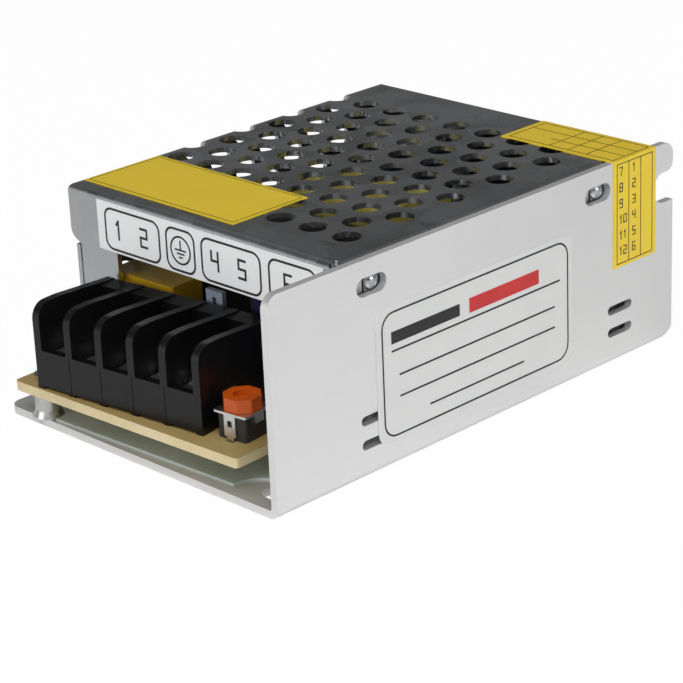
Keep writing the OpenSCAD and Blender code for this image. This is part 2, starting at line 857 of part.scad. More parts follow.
module filter_core() {
    window = choke_w - 2 * choke_leg;
    color([0.2, 0.2, 0.21]) on_board() translate([choke_x, choke_y, choke_rise]) union() {
        difference() {
            cube([choke_w, choke_d, choke_h]);
            translate([choke_leg, -1, choke_leg]) cube([window, choke_d + 2, choke_h - 2 * choke_leg]);
        }
        for (x = [0, choke_w - choke_leg], y = [0, choke_d - choke_pin])
            translate([x, y, -choke_rise]) cube([choke_leg, choke_pin, choke_rise + eps]);
    }
}

module filter_winding() {
    length = choke_w - 2 * choke_leg - 2 * touch;
    color("peru") on_board()
        translate([choke_x + choke_leg + touch, choke_y + choke_d / 2, choke_rise + choke_h / 2])
        rotate([0, 90, 0]) difference() {
            cylinder(r = choke_coil_r, h = length);
            for (i = [1 : 7]) translate([0, 0, i * length / 8]) rotate_extrude()
                translate([choke_coil_r + choke_rib_r / 2, 0]) circle(choke_rib_r);
        }
}

module rectifier_diodes() {
    color([0.1, 0.1, 0.11]) on_board() for (i = [0 : diodes - 1])
        translate([diode_x, diode_y + diode_pitch * i, diode_r]) rotate([0, 90, 0]) {
            cylinder(r = diode_r, h = diode_l);
            translate([0, 0, -diode_reach]) cylinder(r = diode_lead_r, h = diode_l + 2 * diode_reach);
            // bent leads down to the board
            for (x = [-diode_reach - lead_t / 2, diode_l + diode_reach - lead_t / 2])
                translate([-diode_lead_r, -lead_w / 2, x]) cube([diode_r + diode_lead_r, lead_w, lead_t]);
        }
}

// round flat body standing on two leads, its axis along Y
module standing_disc(r, t, rise, lead_x) {
    translate([0, 0, rise + r]) rotate([90, 0, 0]) cylinder(r = r, h = t, center = true);
    for (x = [-lead_x, lead_x])
        translate([x - lead_w / 2, -lead_t, 0]) cube([lead_w, 2 * lead_t, rise + r - sqrt(r * r - lead_x * lead_x) + lead_t]);
}

module thermistor() {
    color([0.12, 0.2, 0.14]) on_board() translate([disc_x, disc_y, 0])
        standing_disc(disc_r, disc_t, disc_rise, disc_lead);
}

module bridging_capacitor() {
    color([0.15, 0.35, 0.65]) on_board() translate([bridge_x, bridge_y, 0]) rotate([0, 0, 90])
        standing_disc(bridge_r, bridge_t, bridge_rise, bridge_lead);
}

module bulk_capacitor() {
    color([0.13, 0.22, 0.26]) on_board() translate([bulk_x, bulk_y, 0]) can(bulk_r, bulk_h, 2.2);
}

module output_capacitors() {
    color([0.12, 0.14, 0.2]) on_board() for (x = out_cap_x)
        translate([x, out_cap_y, 0]) can(out_cap_r, out_cap_h, 1.8);
}

module transformer_core() {
    color([0.16, 0.16, 0.17]) on_board() translate([trans_x, trans_y, core_z]) difference() {
        cube([trans_w, trans_d, core_h]);
        translate([core_leg, core_yoke, -1]) cube([trans_w - 2 * core_leg, trans_d - 2 * core_yoke, core_h + 2]);
    }
}

module transformer_bobbin() {
    pin_step = (trans_d - 3 * bobbin_pin) / 3;
    color([0.1, 0.1, 0.1]) on_board() for (x = [0, trans_w - bobbin_w]) translate([trans_x + x, trans_y, 0]) {
        translate([0, -bobbin_reach, bobbin_z[0]])
            cube([bobbin_w, trans_d + 2 * bobbin_reach, bobbin_z[1] - bobbin_z[0]]);
        for (i = [0 : 3]) translate([(bobbin_w - bobbin_pin) / 2, bobbin_pin + i * pin_step, 0])
            cube([bobbin_pin, bobbin_pin, bobbin_z[0] + eps]);
    }
}

// taped coil that stands up through the window of the core and spreads over it
module transformer_winding() {
    w = trans_w - 2 * core_leg - 2 * tape_gap;
    d = trans_d - 2 * core_yoke - 2 * tape_gap;
    shoulder = core_z + core_h + tape_gap;
    color([0.85, 0.8, 0.25]) on_board()
        translate([trans_x + core_leg + tape_gap, trans_y + core_yoke + tape_gap, 0]) union() {
            translate([0, 0, tape_bottom]) round_plate(w, d, shoulder - tape_bottom + tape_r, 1);
            translate([0, -tape_reach, shoulder]) rotate([90, 0, 90])
                linear_extrude(w) round_outline(d + 2 * tape_reach, trans_h - shoulder, tape_r);
        }
}

// power device in a package with a metal tab; the tab's back is the plane y = 0
module power_device() {
    difference() {
        union() {
            translate([-device_w / 2, -device_tab_t, device_z]) cube([device_w, device_tab_t, device_h - device_z]);
            translate([-device_w / 2, -device_t, device_z]) cube([device_w, device_t, device_body]);
            for (x = [-device_leg_pitch, 0, device_leg_pitch])
                translate([x - lead_w / 2, -device_t / 2 - lead_t, 0]) cube([lead_w, lead_t, device_z + eps]);
        }
        translate([0, 1, device_hole_z]) rotate([90, 0, 0]) cylinder(r = device_hole_r, h = device_t);
    }
}

module sink(place) {
    color("silver") on_board() translate([place[0], place[1], 0]) difference() {
        cube([sink_t, place[2], sink_h]);
        translate([-1, device_y, device_hole_z]) rotate([0, 90, 0]) cylinder(r = sink_hole_r, h = sink_t + 2);
        translate([-1, (place[2] - sink_foot) / 2, -1]) cube([sink_t + 2, sink_foot, sink_foot]);
    }
}

module sink_device(place) {
    color([0.12, 0.12, 0.13]) on_board() translate([place[0], place[1] + device_y, 0])
        rotate([0, 0, -90]) power_device();
}

module rear_heatsink() {
    sink(rear_sink);
}

module front_heatsink() {
    sink(front_sink);
}

module switch_transistor() {
    sink_device(rear_sink);
}

module output_rectifier() {
    sink_device(front_sink);
}

module heatsink_screws() {
    color("gray") on_board() for (place = [front_sink, rear_sink])
        translate([place[0] - device_tab_t, place[1] + device_y, device_hole_z]) rotate([0, -90, 0])
        screw(sink_screw_r, device_tab_t + sink_t + part_gap, sink_screw_head_r, sink_screw_head_h,
              recess_w, recess_w);
}

module output_inductor() {
    color([0.35, 0.33, 0.3]) on_board() translate([coil_x, coil_y, 0]) {
        cylinder(r = coil_r, h = coil_flange);
        cylinder(r = coil_core_r, h = coil_h);
        translate([0, 0, coil_h - coil_flange]) cylinder(r = coil_r, h = coil_flange);
    }
}

module chip(w, l, pins) {
    translate([0, 0, chip_rise]) cube([w, l, chip_h]);
    for (side = [-chip_pin, w - eps], i = [0 : pins - 1])
        translate([side, (i + 0.5) * l / pins - chip_pin / 2, 0])
        cube([chip_pin + eps, chip_pin, chip_rise + chip_h / 2]);
}

module optocoupler() {
    color([0.9, 0.9, 0.88]) on_board() translate([chip_x, opto_y, 0]) chip(opto_w, opto_l, 2);
}

module control_chip() {
    color([0.1, 0.1, 0.1]) on_board() translate([chip_x, control_y, 0]) chip(control_w, control_l, 2);
}

module resistors() {
    cap_l = resistor_l / 4;
    color("tan") on_board() for (i = [0 : resistor_count - 1])
        translate([resistor_x, resistor_y + resistor_pitch * i, resistor_cap_r]) rotate([0, 90, 0]) {
            cylinder(r = resistor_r, h = resistor_l);
            for (x = [0, resistor_l - cap_l]) translate([0, 0, x]) cylinder(r = resistor_cap_r, h = cap_l);
        }
}

// ---------- labels ----------

module legend_label() {
    color("white") in_case() translate([legend_x, lip_y, lip_z + 0.1]) rotate([90, 0, 0])
        linear_extrude(label_t) square([case_w - legend_r - legend_x, lip_h - cover_r - 0.1]);
}

module front_label() {
    color("gold") in_case() translate([front_label_x + cover_r - 1, lip_y + front_label_y, case_h])
        cube([front_label_w, front_label_l, label_t]);
}

module rating_label() {
    color("white") in_case() translate([case_w, rating_y, rating_z]) rotate([90, 0, 90])
        round_plate(rating_l, rating_h, label_t, 2);
}

// seal that wraps from the cover's top over the chassis wall
module seal_label() {
    color("gold") in_case() translate([0, cover_back - seal_back - seal_w, 0]) union() {
        translate([case_w - seal_top, 0, case_h]) cube([seal_top + label_t, seal_w, label_t]);
        translate([case_w, 0, case_h - seal_side]) cube([label_t, seal_w, seal_side + label_t]);
    }
}

// ---------- drawing ----------

chassis();
mesh_cover();
insulating_sheet();
circuit_board();
standoffs();
board_screws();
terminal_block();
terminal_contacts();
for (i = [1 : poles]) terminal_clamp(i);
for (i = [1 : poles]) terminal_screw(i);
trimmer_body();
trimmer_frame();
trimmer_rotor();
box_capacitor();
earth_strip();
fuse();
filter_core();
filter_winding();
rectifier_diodes();
thermistor();
bulk_capacitor();
transformer_core();
transformer_bobbin();
transformer_winding();
rear_heatsink();
switch_transistor();
front_heatsink();
output_rectifier();
heatsink_screws();
output_capacitors();
output_inductor();
bridging_capacitor();
optocoupler();
control_chip();
resistors();
legend_label();
front_label();
rating_label();
seal_label();
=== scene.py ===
"""Looks for the enclosed mesh case power supply: materials, print, solder, light and camera."""

import math

import bmesh
import bpy
from mathutils import Matrix, Vector


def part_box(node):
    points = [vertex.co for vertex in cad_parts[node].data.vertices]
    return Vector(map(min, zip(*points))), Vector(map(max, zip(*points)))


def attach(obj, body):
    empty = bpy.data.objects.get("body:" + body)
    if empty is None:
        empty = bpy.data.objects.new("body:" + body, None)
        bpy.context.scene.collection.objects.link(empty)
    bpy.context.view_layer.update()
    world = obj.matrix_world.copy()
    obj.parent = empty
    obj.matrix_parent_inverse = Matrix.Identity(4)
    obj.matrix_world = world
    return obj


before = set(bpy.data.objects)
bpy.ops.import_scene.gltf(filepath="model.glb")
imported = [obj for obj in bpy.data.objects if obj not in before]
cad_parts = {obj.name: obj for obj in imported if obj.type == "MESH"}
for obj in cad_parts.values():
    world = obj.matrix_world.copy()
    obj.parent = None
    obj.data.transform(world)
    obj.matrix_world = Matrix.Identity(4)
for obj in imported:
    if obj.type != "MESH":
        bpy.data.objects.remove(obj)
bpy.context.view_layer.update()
MM = 0.001

# ---------- places, in millimetres ----------

CASE0 = Vector(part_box("chassis")[0])
CASE_W = 58.0
CASE_H = 32.0
BOARD_TURN = math.radians(2.5)
BLOCK_TURN = math.radians(4)
BOARD_X = 4.756
BOARD_FRONT = -1.9
BOARD_TOP = 6.9
BOARD_T = 1.5
BLOCK = (4.9, 0.3)
POLE_PITCH = 6.1
FIN_T = 1.3
POLES = 5
TAIL_Y = 12.3
TRIMMER = (40.5, 6.7)
LIP_Y = 14.5
LABEL_T = 0.1


def case(x, y, z):
    """A point in metres from millimetres counted from the case's lower front left corner."""
    return CASE0 + Vector((x, y, z)) * MM


BOARD_M = (
    Matrix.Translation(case(BOARD_X, BOARD_FRONT, BOARD_TOP))
    @ Matrix.Rotation(BOARD_TURN, 4, "Z")
    @ Matrix.Scale(MM, 4)
)
BLOCK_M = BOARD_M @ Matrix.Translation((BLOCK[0], BLOCK[1], 0)) @ Matrix.Rotation(BLOCK_TURN, 4, "Z")
TRIMMER_M = BOARD_M @ Matrix.Translation((TRIMMER[0], TRIMMER[1], 0)) @ Matrix.Rotation(BLOCK_TURN, 4, "Z")
CASE_M = Matrix.Translation(CASE0) @ Matrix.Scale(MM, 4)

# ---------- camera ----------

CAMERA_AT = (214.71, -195.97, 142.72)
CAMERA_RIGHT = Vector((0.70895, 0.70406, -0.04081))
CAMERA_UP = Vector((-0.23693, 0.29229, 0.92649))
CAMERA_BACK = Vector((0.66425, -0.64718, 0.37404))
FOCAL_PX = 2421.0
PHOTO_PX = 683
SENSOR = 36.0

scene = bpy.context.scene
camera_data = bpy.data.cameras.new("camera")
camera_data.sensor_width = SENSOR
camera_data.lens = SENSOR * FOCAL_PX / PHOTO_PX
camera_data.clip_start = 0.01
camera_data.clip_end = 20
camera = bpy.data.objects.new("camera", camera_data)
scene.collection.objects.link(camera)
turn = Matrix((CAMERA_RIGHT, CAMERA_UP, CAMERA_BACK)).transposed().to_4x4()
camera.matrix_world = Matrix.Translation(case(CAMERA_AT[0] + CASE_W, CAMERA_AT[1], CAMERA_AT[2])) @ turn
scene.camera = camera
scene.render.resolution_x = 1366
scene.render.resolution_y = 1366
scene.view_settings.view_transform = "Standard"

# ---------- materials ----------


class Look:
    """A procedural material with short names for the nodes that it is made of."""

    def __init__(self, name, colour, rough=0.5, metal=0.0, coat=0.0):
        self.mat = bpy.data.materials.new(name)
        self.mat.use_nodes = True
        self.tree = self.mat.node_tree
        self.bsdf = self.tree.nodes["Principled BSDF"]
        self.set("Base Color", (*colour, 1))
        self.set("Roughness", rough)
        self.set("Metallic", metal)
        self.set("Coat Weight", coat)
        self.coords = self.tree.nodes.new("ShaderNodeTexCoord").outputs["Object"]

    def set(self, socket, value):
        self.bsdf.inputs[socket].default_value = value

    def link(self, a, b):
        self.tree.links.new(a, b)

    def scaled(self, scale):
        node = self.tree.nodes.new("ShaderNodeMapping")
        node.inputs["Scale"].default_value = scale
        self.link(self.coords, node.inputs["Vector"])
        return node.outputs[0]

    def noise(self, scale, detail=3, stretch=(1, 1, 1)):
        node = self.tree.nodes.new("ShaderNodeTexNoise")
        node.inputs["Scale"].default_value = scale
        node.inputs["Detail"].default_value = detail
        self.link(self.scaled(stretch), node.inputs["Vector"])
        return node.outputs["Fac"]

    def cells(self, scale, stretch=(1, 1, 1)):
        node = self.tree.nodes.new("ShaderNodeTexVoronoi")
        node.inputs["Scale"].default_value = scale
        self.link(self.scaled(stretch), node.inputs["Vector"])
        return node.outputs["Color"]

    def ramp(self, fac, stops):
        node = self.tree.nodes.new("ShaderNodeValToRGB")
        ramp = node.color_ramp
        while len(ramp.elements) < len(stops):
            ramp.elements.new(0.5)
        for element, (at, colour) in zip(ramp.elements, stops):
            element.position = at
            element.color = colour if len(colour) == 4 else (*colour, 1)
        self.link(fac, node.inputs["Fac"])
        return node.outputs["Color"]

    def span(self, fac, low, high, out_low=0.0, out_high=1.0):
        node = self.tree.nodes.new("ShaderNodeMapRange")
        values = {"From Min": low, "From Max": high, "To Min": out_low, "To Max": out_high}
        for socket, value in values.items():
            node.inputs[socket].default_value = value
        self.link(fac, node.inputs["Value"])
        return node.outputs["Result"]

    def axis(self, vector, letter):
        node = self.tree.nodes.new("ShaderNodeSeparateXYZ")
        self.link(vector, node.inputs[0])
        return node.outputs[letter]

    def maths(self, kind, a, b):
        node = self.tree.nodes.new("ShaderNodeMath")
        node.operation = kind
        for socket, value in zip(node.inputs, (a, b)):
            if isinstance(value, (int, float)):
                socket.default_value = value
            else:
                self.link(value, socket)
        return node.outputs[0]

    def mix(self, fac, a, b):
        node = self.tree.nodes.new("ShaderNodeMix")
        node.data_type = "RGBA"
        sockets = [s for s in node.inputs if s.type == "RGBA"]
        self.link(fac, node.inputs[0])
        for socket, value in zip(sockets, (a, b)):
            if isinstance(value, tuple):
                socket.default_value = (*value, 1)
            else:
                self.link(value, socket)
        return [s for s in node.outputs if s.type == "RGBA"][0]

    def bump(self, height, strength, distance):
        node = self.tree.nodes.new("ShaderNodeBump")
        node.inputs["Strength"].default_value = strength
        node.inputs["Distance"].default_value = distance
        self.link(height, node.inputs["Height"])
        self.link(node.outputs[0], self.bsdf.inputs["Normal"])

    def to(self, socket, value):
        self.link(value, self.bsdf.inputs[socket])


def grey(v):
    return (v, v, v)


def rolled_aluminium():
    look = Look("chassis_sheet", (0.80, 0.805, 0.81), 0.42, 0.75)
    grain = look.noise(900, 4, (1, 0.05, 1))
    cloud = look.noise(30, 3)
    grain_tone = look.span(grain, 0.3, 0.7, -0.02, 0.02)
    cloud_tone = look.span(cloud, 0.3, 0.7, 0.4, 0.6)
    tone = look.maths("ADD", grain_tone, cloud_tone)
    look.to("Base Color", look.ramp(tone, ((0.3, grey(0.74)), (0.7, grey(0.84)))))
    look.to("Roughness", look.span(cloud, 0.3, 0.7, 0.38, 0.48))
    look.bump(look.noise(2500, 2, (1, 0.2, 1)), 0.06, 0.0002)
    return look


def tinned_steel():
    look = Look("cover_sheet", (0.3, 0.31, 0.33), 0.28, 1.0)
    grains = look.axis(look.cells(260), "X")
    cloud = look.noise(45, 4)
    tone = look.maths("ADD", look.span(grains, 0, 1, -0.05, 0.05), cloud)
    look.to("Base Color", look.ramp(tone, ((0.3, (0.42, 0.43, 0.445)), (0.75, (0.55, 0.565, 0.58)))))
    grain_rough = look.span(grains, 0, 1, 0.18, 0.28)
    cloud_rough = look.span(cloud, 0.3, 0.7, 0, 0.08)
    look.to("Roughness", look.maths("ADD", grain_rough, cloud_rough))
    return look


def plastic(name, colour, rough, coat=0.0, grain=0.05, scale=1500):
    look = Look(name, colour, rough, 0, coat)
    low = tuple(c * 0.9 for c in colour)
    high = tuple(min(1, c * 1.1) for c in colour)
    look.to("Base Color", look.ramp(look.noise(120, 3), ((0.35, low), (0.65, high))))
    look.bump(look.noise(scale, 2), grain, 0.0002)
    return look


def plated(name, value, rough):
    look = Look(name, grey(value), rough, 1.0)
    spots = look.noise(700, 3)
    look.to("Base Color", look.ramp(spots, ((0.3, grey(value * 0.85)), (0.6, grey(value)))))
    look.to("Roughness", look.span(spots, 0.3, 0.7, rough * 0.8, rough * 1.3))
    return look


def laminate():
    look = Look("board_laminate", (0.8, 0.66, 0.42), 0.55)
    fibres = look.noise(1800, 3, (1, 0.15, 6))
    cloud = look.noise(90, 3)
    tone = look.maths("ADD", look.span(fibres, 0.3, 0.7, -0.15, 0.15), cloud)
    edge = look.ramp(tone, ((0.2, (0.62, 0.50, 0.27)), (0.5, (0.74, 0.62, 0.36)), (0.85, (0.82, 0.71, 0.46))))
    face = look.ramp(cloud, ((0.3, (0.36, 0.25, 0.09)), (0.7, (0.44, 0.32, 0.12))))
    height = look.axis(look.coords, "Z")
    board_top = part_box("circuit_board")[1][2]
    top = look.maths("GREATER_THAN", height, board_top - 0.05 * MM)
    look.to("Base Color", look.mix(top, edge, face))
    look.bump(fibres, 0.3, 0.0003)
    return look


def sleeved_can(name, colour, node):
    """Printed sleeve round the side and over the rim, bare metal on the top inside the rim."""
    can_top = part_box(node)[1][2]
    look = Look(name, colour, 0.3)
    height = look.axis(look.coords, "Z")
    top = look.maths("GREATER_THAN", height, can_top - 0.15 * MM)
    look.to("Base Color", look.mix(top, colour, (0.62, 0.63, 0.64)))
    look.to("Metallic", look.maths("MULTIPLY", top, 0.85))
    return look


def taped():
    look = Look("yellow_tape", (0.75, 0.62, 0.08), 0.35)
    edge = look.noise(60, 2, (0.2, 0.2, 6))
    look.to("Base Color", look.ramp(edge, ((0.4, (0.62, 0.5, 0.06)), (0.6, (0.85, 0.74, 0.18)))))
    return look


def copper():
    look = Look("copper_wire", (0.55, 0.22, 0.08), 0.25, 0.9)
    turns = look.noise(900, 2, (3, 1, 1))
    look.to("Base Color", look.ramp(turns, ((0.35, (0.35, 0.12, 0.04)), (0.65, (0.66, 0.3, 0.12)))))
    return look


def film():
    look = Look("film", (0.5, 0.57, 0.54), 0.35)
    cloud = look.noise(50, 3)
    look.to("Base Color", look.ramp(cloud, ((0.3, (0.46, 0.53, 0.50)), (0.7, (0.56, 0.63, 0.60)))))
    return look


def sticker(name, colour, rough=0.32):
    look = Look(name, colour, rough, 0, 0.15)
    shade = tuple(c * 0.96 for c in colour)
    look.to("Base Color", look.ramp(look.noise(150, 3), ((0.3, shade), (0.7, colour))))
    look.bump(look.noise(220, 2), 0.05, 0.0002)
    return look


black_block = plastic("black_moulding", (0.004, 0.004, 0.0045), 0.32, 0.0, 0.12, 700)
black_block.set("Specular IOR Level", 0.35)
black_package = plastic("black_package", grey(0.02), 0.5)
tin = plated("tin", 0.72, 0.3)
bright = plated("bright_metal", 0.78, 0.18)
silver = plated("silver_metal", 0.66, 0.35)
sleeve = plastic("sleeve", (0.02, 0.03, 0.05), 0.25)
ferrite = plastic("ferrite", grey(0.05), 0.6, 0, 0.3)
legend_sticker = sticker("legend_label", (0.90, 0.91, 0.92))
rating_sticker = sticker("rating_label", (0.71, 0.72, 0.71))
yellow_sticker = sticker("yellow_label", (0.86, 0.62, 0.02))
red_ink = plastic("red_ink", (0.55, 0.02, 0.02), 0.45)
ink = Look("ink", grey(0.008), 0.45)
ink.bump(ink.noise(900, 2), 0.05, 0.0001)
solder = plated("solder", 0.7, 0.22)

looks = {
    "chassis": rolled_aluminium(),
    "mesh_cover": tinned_steel(),
    "insulating_sheet": film(),
    "circuit_board": laminate(),
    "standoffs": silver,
    "board_screws": bright,
    "terminal_block": black_block,
    "terminal_contacts": tin,
    "trimmer_body": black_package,
    "trimmer_frame": tin,
    "trimmer_rotor": plastic("orange_moulding", (0.56, 0.085, 0.003), 0.4),
    "box_capacitor": plastic("amber_box", (0.70, 0.42, 0.02), 0.3, 0.2),
    "earth_strip": plastic("earth_strip", (0.45, 0.52, 0.66), 0.35),
    "fuse": sleeve,
    "filter_core": ferrite,
    "filter_winding": copper(),
    "rectifier_diodes": black_package,
    "thermistor": plastic("green_disc", (0.02, 0.08, 0.04), 0.3),
    "bulk_capacitor": sleeved_can("bulk_sleeve", (0.02, 0.035, 0.05), "bulk_capacitor"),
    "transformer_core": ferrite,
    "transformer_bobbin": black_package,
    "transformer_winding": taped(),
    "rear_heatsink": silver,
    "switch_transistor": black_package,
    "front_heatsink": silver,
    "output_rectifier": black_package,
    "heatsink_screws": bright,
    "output_capacitors": sleeved_can("output_sleeve", (0.03, 0.03, 0.09), "output_capacitors"),
    "output_inductor": ferrite,
    "bridging_capacitor": plastic("blue_disc", (0.05, 0.2, 0.5), 0.3),
    "optocoupler": plastic("white_package", grey(0.75), 0.5),
    "control_chip": black_package,
    "resistors": plastic("tan_body", (0.62, 0.45, 0.26), 0.4),
    "legend_label": legend_sticker,
    "front_label": yellow_sticker,
    "rating_label": rating_sticker,
    "seal_label": yellow_sticker,
}
for node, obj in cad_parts.items():
    look = looks.get(node, bright)
    obj.data.materials.clear()
    obj.data.materials.append(look.mat)

# ---------- pieces ----------


def piece(name, bm, look, body="case", place=None, smooth=None):
    if place is not None:
        bm.transform(place)
    mesh = bpy.data.meshes.new(name)
    bmesh.ops.recalc_face_normals(bm, faces=bm.faces)
    bm.to_mesh(mesh)
    bm.free()
    mesh.materials.append(look.mat)
    obj = bpy.data.objects.new(name, mesh)
    scene.collection.objects.link(obj)
    if smooth is not None:
        mesh.shade_smooth()
        mesh.set_sharp_from_angle(angle=math.radians(smooth))
    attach(obj, body)
    return obj


def add_prism(bm, outline, z0, z1, at=Matrix.Identity(4)):
    """A closed prism between z0 and z1 over an outline of (x, y) points."""
    low = [bm.verts.new(at @ Vector((x, y, z0))) for x, y in outline]
    high = [bm.verts.new(at @ Vector((x, y, z1))) for x, y in outline]
    bm.faces.new(list(reversed(low)))
    bm.faces.new(high)
    n = len(outline)
    for i in range(n):
        j = (i + 1) % n
        bm.faces.new((low[i], low[j], high[j], high[i]))


def add_frame(bm, outer, inner, z0, z1, at=Matrix.Identity(4)):
    """A closed flat frame between two outlines with the same number of points."""
    rings = [
        [bm.verts.new(at @ Vector((x, y, z))) for x, y in line]
        for line, z in ((outer, z0), (outer, z1), (inner, z1), (inner, z0))
    ]
    n = len(outer)
    for a in range(4):
        one, two = rings[a], rings[(a + 1) % 4]
        for i in range(n):
            j = (i + 1) % n
            bm.faces.new((one[i], one[j], two[j], two[i]))


def rounded(x0, y0, x1, y1, r, steps=5):
    points = []
    corners = ((x1 - r, y1 - r, 0), (x0 + r, y1 - r, 90), (x0 + r, y0 + r, 180), (x1 - r, y0 + r, 270))
    for cx, cy, start in corners:
        for k in range(steps + 1):
            a = math.radians(start + 90 * k / steps)
            points.append((cx + r * math.cos(a), cy + r * math.sin(a)))
    return points


def circle(cx, cy, r, n=28):
    angles = [2 * math.pi * k / n for k in range(n)]
    return [(cx + r * math.cos(a), cy + r * math.sin(a)) for a in angles]


def bar(x0, y0, x1, y1):
    return [(x0, y0), (x1, y0), (x1, y1), (x0, y1)]


def stroke(a, b, w):
    d = Vector((b[0] - a[0], b[1] - a[1]))
    d.normalize()
    n = Vector((-d.y, d.x)) * w / 2
    return [
        (a[0] - n.x, a[1] - n.y),
        (b[0] - n.x, b[1] - n.y),
        (b[0] + n.x, b[1] + n.y),
        (a[0] + n.x, a[1] + n.y),
    ]


def framed(bm, x0, y0, x1, y1, line, at, r=0.0):
    """A printed frame with a line of that width inside the rectangle, square or round at the corners."""
    inner = (x0 + line, y0 + line, x1 - line, y1 - line)
    if r:
        add_frame(bm, rounded(x0, y0, x1, y1, r), rounded(*inner, r - line), PRINT_LOW, PRINT_HIGH, at)
    else:
        add_frame(bm, bar(x0, y0, x1, y1), bar(*inner), PRINT_LOW, PRINT_HIGH, at)


def printed(bm, outline, at, lift=0.0):
    """A printed field or rule; lift keeps it clear of print that it crosses."""
    add_prism(bm, outline, PRINT_LOW, PRINT_HIGH + lift, at)


# print reaches from just under to just over its label's face
PRINT_LOW = -0.01
PRINT_HIGH = 0.02

# label planes: local X to the right of the reader, local Y up, local Z out of the label
LIP_M = CASE_M @ Matrix(((1, 0, 0, 0), (0, 0, -1, LIP_Y - LABEL_T), (0, 1, 0, 0), (0, 0, 0, 1)))
WALL_M = CASE_M @ Matrix(((0, 0, 1, CASE_W + LABEL_T), (1, 0, 0, 0), (0, 1, 0, 0), (0, 0, 0, 1)))
TOP_M = CASE_M @ Matrix(((1, 0, 0, 0), (0, 1, 0, 0), (0, 0, 1, CASE_H + LABEL_T), (0, 0, 0, 1)))

# the seven strokes of a plain figure, as corners of a 2 by 4 grid
FIGURE_LINES = {
    "0": [(0, 0, 1, 0), (1, 0, 1, 2), (1, 2, 0, 2), (0, 2, 0, 0)],
    "1": [(0.5, 0, 0.5, 2), (0.5, 2, 0.2, 1.6)],
    "2": [(0, 2, 1, 2), (1, 2, 1, 1), (1, 1, 0, 1), (0, 1, 0, 0), (0, 0, 1, 0)],
    "3": [(0, 2, 1, 2), (1, 2, 1, 0), (0.2, 1, 1, 1), (0, 0, 1, 0)],
    "4": [(0, 2, 0, 1), (0, 1, 1, 1), (1, 2, 1, 0)],
    "5": [(1, 2, 0, 2), (0, 2, 0, 1), (0, 1, 1, 1), (1, 1, 1, 0), (1, 0, 0, 0)],
    "6": [(1, 2, 0, 2), (0, 2, 0, 0), (0, 0, 1, 0), (1, 0, 1, 1), (1, 1, 0, 1)],
    "7": [(0, 2, 1, 2), (1, 2, 0.4, 0)],
    "8": [(0, 0, 1, 0), (1, 0, 1, 2), (1, 2, 0, 2), (0, 2, 0, 0), (0, 1, 1, 1)],
    "9": [(1, 1, 0, 1), (0, 1, 0, 2), (0, 2, 1, 2), (1, 2, 1, 0), (1, 0, 0, 0)],
}


# width of a figure's stroke, step to the next figure and lift of each stroke, by the figure's height
FIGURE_STROKE = 0.14
FIGURE_STEP = 0.75
FIGURE_LIFT = 0.001


def add_figure(bm, text, x, y, h, at):
    """Plain figures of height h whose row starts at x, y."""
    spot = at @ Matrix.Translation((x, y, 0))
    width = h * FIGURE_STROKE
    for k, figure in enumerate(text):
        left = k * h * FIGURE_STEP
        for i, (ax, ay, bx, by) in enumerate(FIGURE_LINES[figure]):
            a = (left + ax * h / 2, ay * h / 2)
            b = (left + bx * h / 2, by * h / 2)
            d = Vector((b[0] - a[0], b[1] - a[1])).normalized() * width / 2
            line = stroke((a[0] - d.x, a[1] - d.y), (b[0] + d.x, b[1] + d.y), width)
            printed(bm, line, spot, FIGURE_LIFT * i)


def legend_print():
    """Round-cornered frames over the terminals, with plain numbers and the earth sign."""
    bm = bmesh.new()
    low, high, corner, line = 23.6, 30.2, 1.6, 0.35
    for x0, x1 in ((8.2, 20.5), (21.7, 28.0), (29.2, 41.6), (43.0, 52.6)):
        framed(bm, x0, low, x1, high, line, LIP_M, corner)
    figure_z, figure_h = 25.6, 2.7
    for text, x in (("1", 10.6), ("2", 16.2), ("4", 31.4), ("5", 37.0), ("6", 46.2)):
        add_figure(bm, text, x, figure_z, figure_h, LIP_M)
    # earth sign in a ring
    cx, cz, ring, ring_in, stem = 24.85, 26.9, 2.2, 1.9, 0.28
    add_frame(bm, circle(cx, cz, ring), circle(cx, cz, ring_in), PRINT_LOW, PRINT_HIGH, LIP_M)
    printed(bm, stroke((cx, cz + 1.5), (cx, cz + 0.1), stem), LIP_M)
    bar_step, bar_t = 0.55, 0.25
    for i, half in enumerate((1.2, 0.8, 0.4)):
        bar_z = cz - 0.1 - bar_step * i
        printed(bm, bar(cx - half, bar_z, cx + half, bar_z + bar_t), LIP_M, 0.002)
    piece("legend_print", bm, ink)


def rating_print():
    """A round-cornered frame with plain fields and rules where the ratings were."""
    bm = bmesh.new()
    line = 0.28
    framed(bm, 20.7, 4.6, 60.1, 23.2, line, WALL_M, 2.4)
    for z, a, b in ((17.2, 22.6, 58.2), (13.4, 24.0, 57.0), (10.2, 24.0, 57.0), (7.0, 30.0, 50.0)):
        printed(bm, bar(a, z, b, z + line), WALL_M)
    printed(bm, bar(22.6, 18.4, 36.5, 20.2), WALL_M)
    piece("rating_print", bm, ink)
    bm = bmesh.new()
    printed(bm, bar(38.5, 18.2, 53.5, 20.4), WALL_M)
    piece("rating_field", bm, red_ink)


def label_box(node):
    """A label's box in millimetres from the case's corner, as two (x, y) points."""
    return [((corner[0] - CASE0.x) / MM, (corner[1] - CASE0.y) / MM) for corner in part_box(node)]


